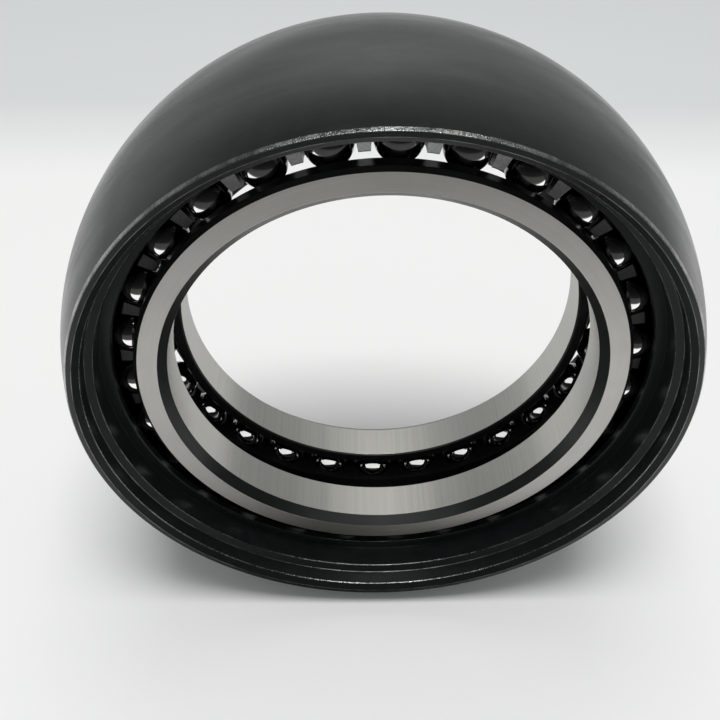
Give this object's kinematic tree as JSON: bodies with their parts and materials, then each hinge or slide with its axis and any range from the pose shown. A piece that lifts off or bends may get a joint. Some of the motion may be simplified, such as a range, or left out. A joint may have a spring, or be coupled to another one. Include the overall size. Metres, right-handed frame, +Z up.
{
  "type": "angular contact ball bearing",
  "caption": "Double row angular contact ball bearing with a spherical outside surface, a split inner ring and comb cages.",
  "frame": {"origin": "centre of the spherical outside surface, which is the middle of the bearing on its axis", "axes": "+Y along the bearing's axis from the front face to the rear face, +Z up, +X to the right seen from the front"},
  "size_m": [0.21, 0.078, 0.21],
  "materials": {
    "outer_ring_black": "black oxide, oiled, semi-gloss",
    "inner_ring_ground": "ground faces and bore, black chamfers",
    "ball_steel": "polished bearing steel",
    "cage_steel": "phosphated steel, satin"
  },
  "bodies": {
    "outer_ring": {"outer_ring": "outer_ring_black"},
    "inner_ring_front": {"inner_ring_front": "inner_ring_ground"},
    "inner_ring_rear": {"inner_ring_rear": "inner_ring_ground"},
    "cage_front": {"cage_front": "cage_steel"},
    "cage_rear": {"cage_rear": "cage_steel"},
    "ball_front_01": {"ball_front_01": "ball_steel"},
    "ball_front_02": {"ball_front_02": "ball_steel"},
    "ball_front_03": {"ball_front_03": "ball_steel"},
    "ball_front_04": {"ball_front_04": "ball_steel"},
    "ball_front_05": {"ball_front_05": "ball_steel"},
    "ball_front_06": {"ball_front_06": "ball_steel"},
    "ball_front_07": {"ball_front_07": "ball_steel"},
    "ball_front_08": {"ball_front_08": "ball_steel"},
    "ball_front_09": {"ball_front_09": "ball_steel"},
    "ball_front_10": {"ball_front_10": "ball_steel"},
    "ball_front_11": {"ball_front_11": "ball_steel"},
    "ball_front_12": {"ball_front_12": "ball_steel"},
    "ball_front_13": {"ball_front_13": "ball_steel"},
    "ball_front_14": {"ball_front_14": "ball_steel"},
    "ball_front_15": {"ball_front_15": "ball_steel"},
    "ball_front_16": {"ball_front_16": "ball_steel"},
    "ball_front_17": {"ball_front_17": "ball_steel"},
    "ball_front_18": {"ball_front_18": "ball_steel"},
    "ball_front_19": {"ball_front_19": "ball_steel"},
    "ball_front_20": {"ball_front_20": "ball_steel"},
    "ball_front_21": {"ball_front_21": "ball_steel"},
    "ball_front_22": {"ball_front_22": "ball_steel"},
    "ball_front_23": {"ball_front_23": "ball_steel"},
    "ball_front_24": {"ball_front_24": "ball_steel"},
    "ball_front_25": {"ball_front_25": "ball_steel"},
    "ball_front_26": {"ball_front_26": "ball_steel"},
    "ball_front_27": {"ball_front_27": "ball_steel"},
    "ball_rear_01": {"ball_rear_01": "ball_steel"},
    "ball_rear_02": {"ball_rear_02": "ball_steel"},
    "ball_rear_03": {"ball_rear_03": "ball_steel"},
    "ball_rear_04": {"ball_rear_04": "ball_steel"},
    "ball_rear_05": {"ball_rear_05": "ball_steel"},
    "ball_rear_06": {"ball_rear_06": "ball_steel"},
    "ball_rear_07": {"ball_rear_07": "ball_steel"},
    "ball_rear_08": {"ball_rear_08": "ball_steel"},
    "ball_rear_09": {"ball_rear_09": "ball_steel"},
    "ball_rear_10": {"ball_rear_10": "ball_steel"},
    "ball_rear_11": {"ball_rear_11": "ball_steel"},
    "ball_rear_12": {"ball_rear_12": "ball_steel"},
    "ball_rear_13": {"ball_rear_13": "ball_steel"},
    "ball_rear_14": {"ball_rear_14": "ball_steel"},
    "ball_rear_15": {"ball_rear_15": "ball_steel"},
    "ball_rear_16": {"ball_rear_16": "ball_steel"},
    "ball_rear_17": {"ball_rear_17": "ball_steel"},
    "ball_rear_18": {"ball_rear_18": "ball_steel"},
    "ball_rear_19": {"ball_rear_19": "ball_steel"},
    "ball_rear_20": {"ball_rear_20": "ball_steel"},
    "ball_rear_21": {"ball_rear_21": "ball_steel"},
    "ball_rear_22": {"ball_rear_22": "ball_steel"},
    "ball_rear_23": {"ball_rear_23": "ball_steel"},
    "ball_rear_24": {"ball_rear_24": "ball_steel"},
    "ball_rear_25": {"ball_rear_25": "ball_steel"},
    "ball_rear_26": {"ball_rear_26": "ball_steel"},
    "ball_rear_27": {"ball_rear_27": "ball_steel"}
  },
  "joints": [
    {"name": "inner_front_spin", "type": "hinge", "parent": "outer_ring", "child": "inner_ring_front", "pos_m": [0, -0.0155, 0], "axis": [0, 1, 0], "continuous": true},
    {"name": "inner_rear_spin", "type": "hinge", "parent": "outer_ring", "child": "inner_ring_rear", "pos_m": [0, 0.0155, 0], "axis": [0, 1, 0], "continuous": true},
    {"name": "cage_front_spin", "type": "hinge", "parent": "outer_ring", "child": "cage_front", "pos_m": [0, -0.0102, 0], "axis": [0, 1, 0], "continuous": true},
    {"name": "cage_rear_spin", "type": "hinge", "parent": "outer_ring", "child": "cage_rear", "pos_m": [0, 0.0102, 0], "axis": [0, 1, 0], "continuous": true},
    {"name": "ball_front_01_roll", "type": "hinge", "parent": "cage_front", "child": "ball_front_01", "pos_m": [0.00174, -0.0135, 0.08293], "axis": [-0.0105, 0.866, -0.4999], "continuous": true},
    {"name": "ball_front_02_roll", "type": "hinge", "parent": "cage_front", "child": "ball_front_02", "pos_m": [-0.01744, -0.0135, 0.0811], "axis": [0.1051, 0.866, -0.4888], "continuous": true},
    {"name": "ball_front_03_roll", "type": "hinge", "parent": "cage_front", "child": "ball_front_03", "pos_m": [-0.03567, -0.0135, 0.07489], "axis": [0.215, 0.866, -0.4514], "continuous": true},
    {"name": "ball_front_04_roll", "type": "hinge", "parent": "cage_front", "child": "ball_front_04", "pos_m": [-0.05198, -0.0135, 0.06465], "axis": [0.3133, 0.866, -0.3897], "continuous": true},
    {"name": "ball_front_05_roll", "type": "hinge", "parent": "cage_front", "child": "ball_front_05", "pos_m": [-0.06548, -0.0135, 0.05092], "axis": [0.3947, 0.866, -0.3069], "continuous": true},
    {"name": "ball_front_06_roll", "type": "hinge", "parent": "cage_front", "child": "ball_front_06", "pos_m": [-0.07546, -0.0135, 0.03444], "axis": [0.4549, 0.866, -0.2076], "continuous": true},
    {"name": "ball_front_07_roll", "type": "hinge", "parent": "cage_front", "child": "ball_front_07", "pos_m": [-0.08137, -0.0135, 0.01611], "axis": [0.4905, 0.866, -0.0971], "continuous": true},
    {"name": "ball_front_08_roll", "type": "hinge", "parent": "cage_front", "child": "ball_front_08", "pos_m": [-0.08289, -0.0135, -0.00309], "axis": [0.4997, 0.866, 0.0186], "continuous": true},
    {"name": "ball_front_09_roll", "type": "hinge", "parent": "cage_front", "child": "ball_front_09", "pos_m": [-0.07995, -0.0135, -0.02212], "axis": [0.4819, 0.866, 0.1333], "continuous": true},
    {"name": "ball_front_10_roll", "type": "hinge", "parent": "cage_front", "child": "ball_front_10", "pos_m": [-0.07269, -0.0135, -0.03996], "axis": [0.4382, 0.866, 0.2409], "continuous": true},
    {"name": "ball_front_11_roll", "type": "hinge", "parent": "cage_front", "child": "ball_front_11", "pos_m": [-0.06151, -0.0135, -0.05565], "axis": [0.3708, 0.866, 0.3354], "continuous": true},
    {"name": "ball_front_12_roll", "type": "hinge", "parent": "cage_front", "child": "ball_front_12", "pos_m": [-0.04702, -0.0135, -0.06833], "axis": [0.2834, 0.866, 0.4119], "continuous": true},
    {"name": "ball_front_13_roll", "type": "hinge", "parent": "cage_front", "child": "ball_front_13", "pos_m": [-0.03, -0.0135, -0.07734], "axis": [0.1808, 0.866, 0.4662], "continuous": true},
    {"name": "ball_front_14_roll", "type": "hinge", "parent": "cage_front", "child": "ball_front_14", "pos_m": [-0.01135, -0.0135, -0.08217], "axis": [0.0684, 0.866, 0.4953], "continuous": true},
    {"name": "ball_front_15_roll", "type": "hinge", "parent": "cage_front", "child": "ball_front_15", "pos_m": [0.0079, -0.0135, -0.08257], "axis": [-0.0476, 0.866, 0.4977], "continuous": true},
    {"name": "ball_front_16_roll", "type": "hinge", "parent": "cage_front", "child": "ball_front_16", "pos_m": [0.02673, -0.0135, -0.07852], "axis": [-0.1611, 0.866, 0.4733], "continuous": true},
    {"name": "ball_front_17_roll", "type": "hinge", "parent": "cage_front", "child": "ball_front_17", "pos_m": [0.04412, -0.0135, -0.07024], "axis": [-0.2659, 0.866, 0.4234], "continuous": true},
    {"name": "ball_front_18_roll", "type": "hinge", "parent": "cage_front", "child": "ball_front_18", "pos_m": [0.05913, -0.0135, -0.05817], "axis": [-0.3564, 0.866, 0.3507], "continuous": true},
    {"name": "ball_front_19_roll", "type": "hinge", "parent": "cage_front", "child": "ball_front_19", "pos_m": [0.07095, -0.0135, -0.04297], "axis": [-0.4277, 0.866, 0.259], "continuous": true},
    {"name": "ball_front_20_roll", "type": "hinge", "parent": "cage_front", "child": "ball_front_20", "pos_m": [0.07895, -0.0135, -0.02545], "axis": [-0.4759, 0.866, 0.1534], "continuous": true},
    {"name": "ball_front_21_roll", "type": "hinge", "parent": "cage_front", "child": "ball_front_21", "pos_m": [0.08269, -0.0135, -0.00656], "axis": [-0.4984, 0.866, 0.0395], "continuous": true},
    {"name": "ball_front_22_roll", "type": "hinge", "parent": "cage_front", "child": "ball_front_22", "pos_m": [0.08197, -0.0135, 0.01269], "axis": [-0.4941, 0.866, -0.0765], "continuous": true},
    {"name": "ball_front_23_roll", "type": "hinge", "parent": "cage_front", "child": "ball_front_23", "pos_m": [0.07684, -0.0135, 0.03125], "axis": [-0.4632, 0.866, -0.1884], "continuous": true},
    {"name": "ball_front_24_roll", "type": "hinge", "parent": "cage_front", "child": "ball_front_24", "pos_m": [0.06756, -0.0135, 0.04813], "axis": [-0.4072, 0.866, -0.2901], "continuous": true},
    {"name": "ball_front_25_roll", "type": "hinge", "parent": "cage_front", "child": "ball_front_25", "pos_m": [0.05464, -0.0135, 0.06241], "axis": [-0.3293, 0.866, -0.3762], "continuous": true},
    {"name": "ball_front_26_roll", "type": "hinge", "parent": "cage_front", "child": "ball_front_26", "pos_m": [0.03877, -0.0135, 0.07333], "axis": [-0.2337, 0.866, -0.442], "continuous": true},
    {"name": "ball_front_27_roll", "type": "hinge", "parent": "cage_front", "child": "ball_front_27", "pos_m": [0.02082, -0.0135, 0.0803], "axis": [-0.1255, 0.866, -0.484], "continuous": true},
    {"name": "ball_rear_01_roll", "type": "hinge", "parent": "cage_rear", "child": "ball_rear_01", "pos_m": [-0.00058, 0.0135, -0.08295], "axis": [-0.0035, 0.866, -0.5], "continuous": true},
    {"name": "ball_rear_02_roll", "type": "hinge", "parent": "cage_rear", "child": "ball_rear_02", "pos_m": [0.01857, 0.0135, -0.08085], "axis": [0.1119, 0.866, -0.4873], "continuous": true},
    {"name": "ball_rear_03_roll", "type": "hinge", "parent": "cage_rear", "child": "ball_rear_03", "pos_m": [0.03671, 0.0135, -0.07438], "axis": [0.2213, 0.866, -0.4484], "continuous": true},
    {"name": "ball_rear_04_roll", "type": "hinge", "parent": "cage_rear", "child": "ball_rear_04", "pos_m": [0.05287, 0.0135, -0.06391], "axis": [0.3187, 0.866, -0.3853], "continuous": true},
    {"name": "ball_rear_05_roll", "type": "hinge", "parent": "cage_rear", "child": "ball_rear_05", "pos_m": [0.06619, 0.0135, -0.05], "axis": [0.399, 0.866, -0.3014], "continuous": true},
    {"name": "ball_rear_06_roll", "type": "hinge", "parent": "cage_rear", "child": "ball_rear_06", "pos_m": [0.07593, 0.0135, -0.03339], "axis": [0.4577, 0.866, -0.2012], "continuous": true},
    {"name": "ball_rear_07_roll", "type": "hinge", "parent": "cage_rear", "child": "ball_rear_07", "pos_m": [0.08159, 0.0135, -0.01497], "axis": [0.4918, 0.866, -0.0903], "continuous": true},
    {"name": "ball_rear_08_roll", "type": "hinge", "parent": "cage_rear", "child": "ball_rear_08", "pos_m": [0.08284, 0.0135, 0.00424], "axis": [0.4993, 0.866, 0.0256], "continuous": true},
    {"name": "ball_rear_09_roll", "type": "hinge", "parent": "cage_rear", "child": "ball_rear_09", "pos_m": [0.07963, 0.0135, 0.02323], "axis": [0.48, 0.866, 0.1401], "continuous": true},
    {"name": "ball_rear_10_roll", "type": "hinge", "parent": "cage_rear", "child": "ball_rear_10", "pos_m": [0.07212, 0.0135, 0.04097], "axis": [0.4347, 0.866, 0.247], "continuous": true},
    {"name": "ball_rear_11_roll", "type": "hinge", "parent": "cage_rear", "child": "ball_rear_11", "pos_m": [0.06073, 0.0135, 0.0565], "axis": [0.3661, 0.866, 0.3406], "continuous": true},
    {"name": "ball_rear_12_roll", "type": "hinge", "parent": "cage_rear", "child": "ball_rear_12", "pos_m": [0.04606, 0.0135, 0.06898], "axis": [0.2777, 0.866, 0.4158], "continuous": true},
    {"name": "ball_rear_13_roll", "type": "hinge", "parent": "cage_rear", "child": "ball_rear_13", "pos_m": [0.02891, 0.0135, 0.07775], "axis": [0.1743, 0.866, 0.4686], "continuous": true},
    {"name": "ball_rear_14_roll", "type": "hinge", "parent": "cage_rear", "child": "ball_rear_14", "pos_m": [0.0102, 0.0135, 0.08232], "axis": [0.0615, 0.866, 0.4962], "continuous": true},
    {"name": "ball_rear_15_roll", "type": "hinge", "parent": "cage_rear", "child": "ball_rear_15", "pos_m": [-0.00905, 0.0135, 0.08245], "axis": [-0.0546, 0.866, 0.497], "continuous": true},
    {"name": "ball_rear_16_roll", "type": "hinge", "parent": "cage_rear", "child": "ball_rear_16", "pos_m": [-0.02783, 0.0135, 0.07814], "axis": [-0.1677, 0.866, 0.471], "continuous": true},
    {"name": "ball_rear_17_roll", "type": "hinge", "parent": "cage_rear", "child": "ball_rear_17", "pos_m": [-0.0451, 0.0135, 0.06962], "axis": [-0.2718, 0.866, 0.4197], "continuous": true},
    {"name": "ball_rear_18_roll", "type": "hinge", "parent": "cage_rear", "child": "ball_rear_18", "pos_m": [-0.05994, 0.0135, 0.05734], "axis": [-0.3613, 0.866, 0.3457], "continuous": true},
    {"name": "ball_rear_19_roll", "type": "hinge", "parent": "cage_rear", "child": "ball_rear_19", "pos_m": [-0.07155, 0.0135, 0.04198], "axis": [-0.4313, 0.866, 0.253], "continuous": true},
    {"name": "ball_rear_20_roll", "type": "hinge", "parent": "cage_rear", "child": "ball_rear_20", "pos_m": [-0.0793, 0.0135, 0.02434], "axis": [-0.478, 0.866, 0.1467], "continuous": true},
    {"name": "ball_rear_21_roll", "type": "hinge", "parent": "cage_rear", "child": "ball_rear_21", "pos_m": [-0.08277, 0.0135, 0.0054], "axis": [-0.4989, 0.866, 0.0326], "continuous": true},
    {"name": "ball_rear_22_roll", "type": "hinge", "parent": "cage_rear", "child": "ball_rear_22", "pos_m": [-0.08179, 0.0135, -0.01383], "axis": [-0.493, 0.866, -0.0834], "continuous": true},
    {"name": "ball_rear_23_roll", "type": "hinge", "parent": "cage_rear", "child": "ball_rear_23", "pos_m": [-0.07639, 0.0135, -0.03232], "axis": [-0.4605, 0.866, -0.1948], "continuous": true},
    {"name": "ball_rear_24_roll", "type": "hinge", "parent": "cage_rear", "child": "ball_rear_24", "pos_m": [-0.06688, 0.0135, -0.04907], "axis": [-0.4031, 0.866, -0.2958], "continuous": true},
    {"name": "ball_rear_25_roll", "type": "hinge", "parent": "cage_rear", "child": "ball_rear_25", "pos_m": [-0.05376, 0.0135, -0.06317], "axis": [-0.3241, 0.866, -0.3808], "continuous": true},
    {"name": "ball_rear_26_roll", "type": "hinge", "parent": "cage_rear", "child": "ball_rear_26", "pos_m": [-0.03774, 0.0135, -0.07387], "axis": [-0.2275, 0.866, -0.4452], "continuous": true},
    {"name": "ball_rear_27_roll", "type": "hinge", "parent": "cage_rear", "child": "ball_rear_27", "pos_m": [-0.01969, 0.0135, -0.08058], "axis": [-0.1187, 0.866, -0.4857], "continuous": true}
  ],
  "couplings": [
    {"joint": "inner_rear_spin", "follows": "inner_front_spin", "ratio": 1},
    {"joint": "cage_front_spin", "follows": "inner_front_spin", "ratio": 0.46271},
    {"joint": "cage_rear_spin", "follows": "inner_front_spin", "ratio": 0.46271},
    {"joint": "ball_front_01_roll", "follows": "inner_front_spin", "ratio": -5.7733},
    {"joint": "ball_front_02_roll", "follows": "inner_front_spin", "ratio": -5.7733},
    {"joint": "ball_front_03_roll", "follows": "inner_front_spin", "ratio": -5.7733},
    {"joint": "ball_front_04_roll", "follows": "inner_front_spin", "ratio": -5.7733},
    {"joint": "ball_front_05_roll", "follows": "inner_front_spin", "ratio": -5.7733},
    {"joint": "ball_front_06_roll", "follows": "inner_front_spin", "ratio": -5.7733},
    {"joint": "ball_front_07_roll", "follows": "inner_front_spin", "ratio": -5.7733},
    {"joint": "ball_front_08_roll", "follows": "inner_front_spin", "ratio": -5.7733},
    {"joint": "ball_front_09_roll", "follows": "inner_front_spin", "ratio": -5.7733},
    {"joint": "ball_front_10_roll", "follows": "inner_front_spin", "ratio": -5.7733},
    {"joint": "ball_front_11_roll", "follows": "inner_front_spin", "ratio": -5.7733},
    {"joint": "ball_front_12_roll", "follows": "inner_front_spin", "ratio": -5.7733},
    {"joint": "ball_front_13_roll", "follows": "inner_front_spin", "ratio": -5.7733},
    {"joint": "ball_front_14_roll", "follows": "inner_front_spin", "ratio": -5.7733},
    {"joint": "ball_front_15_roll", "follows": "inner_front_spin", "ratio": -5.7733},
    {"joint": "ball_front_16_roll", "follows": "inner_front_spin", "ratio": -5.7733},
    {"joint": "ball_front_17_roll", "follows": "inner_front_spin", "ratio": -5.7733},
    {"joint": "ball_front_18_roll", "follows": "inner_front_spin", "ratio": -5.7733},
    {"joint": "ball_front_19_roll", "follows": "inner_front_spin", "ratio": -5.7733},
    {"joint": "ball_front_20_roll", "follows": "inner_front_spin", "ratio": -5.7733},
    {"joint": "ball_front_21_roll", "follows": "inner_front_spin", "ratio": -5.7733},
    {"joint": "ball_front_22_roll", "follows": "inner_front_spin", "ratio": -5.7733},
    {"joint": "ball_front_23_roll", "follows": "inner_front_spin", "ratio": -5.7733},
    {"joint": "ball_front_24_roll", "follows": "inner_front_spin", "ratio": -5.7733},
    {"joint": "ball_front_25_roll", "follows": "inner_front_spin", "ratio": -5.7733},
    {"joint": "ball_front_26_roll", "follows": "inner_front_spin", "ratio": -5.7733},
    {"joint": "ball_front_27_roll", "follows": "inner_front_spin", "ratio": -5.7733},
    {"joint": "ball_rear_01_roll", "follows": "inner_front_spin", "ratio": -5.7733},
    {"joint": "ball_rear_02_roll", "follows": "inner_front_spin", "ratio": -5.7733},
    {"joint": "ball_rear_03_roll", "follows": "inner_front_spin", "ratio": -5.7733},
    {"joint": "ball_rear_04_roll", "follows": "inner_front_spin", "ratio": -5.7733},
    {"joint": "ball_rear_05_roll", "follows": "inner_front_spin", "ratio": -5.7733},
    {"joint": "ball_rear_06_roll", "follows": "inner_front_spin", "ratio": -5.7733},
    {"joint": "ball_rear_07_roll", "follows": "inner_front_spin", "ratio": -5.7733},
    {"joint": "ball_rear_08_roll", "follows": "inner_front_spin", "ratio": -5.7733},
    {"joint": "ball_rear_09_roll", "follows": "inner_front_spin", "ratio": -5.7733},
    {"joint": "ball_rear_10_roll", "follows": "inner_front_spin", "ratio": -5.7733},
    {"joint": "ball_rear_11_roll", "follows": "inner_front_spin", "ratio": -5.7733},
    {"joint": "ball_rear_12_roll", "follows": "inner_front_spin", "ratio": -5.7733},
    {"joint": "ball_rear_13_roll", "follows": "inner_front_spin", "ratio": -5.7733},
    {"joint": "ball_rear_14_roll", "follows": "inner_front_spin", "ratio": -5.7733},
    {"joint": "ball_rear_15_roll", "follows": "inner_front_spin", "ratio": -5.7733},
    {"joint": "ball_rear_16_roll", "follows": "inner_front_spin", "ratio": -5.7733},
    {"joint": "ball_rear_17_roll", "follows": "inner_front_spin", "ratio": -5.7733},
    {"joint": "ball_rear_18_roll", "follows": "inner_front_spin", "ratio": -5.7733},
    {"joint": "ball_rear_19_roll", "follows": "inner_front_spin", "ratio": -5.7733},
    {"joint": "ball_rear_20_roll", "follows": "inner_front_spin", "ratio": -5.7733},
    {"joint": "ball_rear_21_roll", "follows": "inner_front_spin", "ratio": -5.7733},
    {"joint": "ball_rear_22_roll", "follows": "inner_front_spin", "ratio": -5.7733},
    {"joint": "ball_rear_23_roll", "follows": "inner_front_spin", "ratio": -5.7733},
    {"joint": "ball_rear_24_roll", "follows": "inner_front_spin", "ratio": -5.7733},
    {"joint": "ball_rear_25_roll", "follows": "inner_front_spin", "ratio": -5.7733},
    {"joint": "ball_rear_26_roll", "follows": "inner_front_spin", "ratio": -5.7733},
    {"joint": "ball_rear_27_roll", "follows": "inner_front_spin", "ratio": -5.7733}
  ]
}
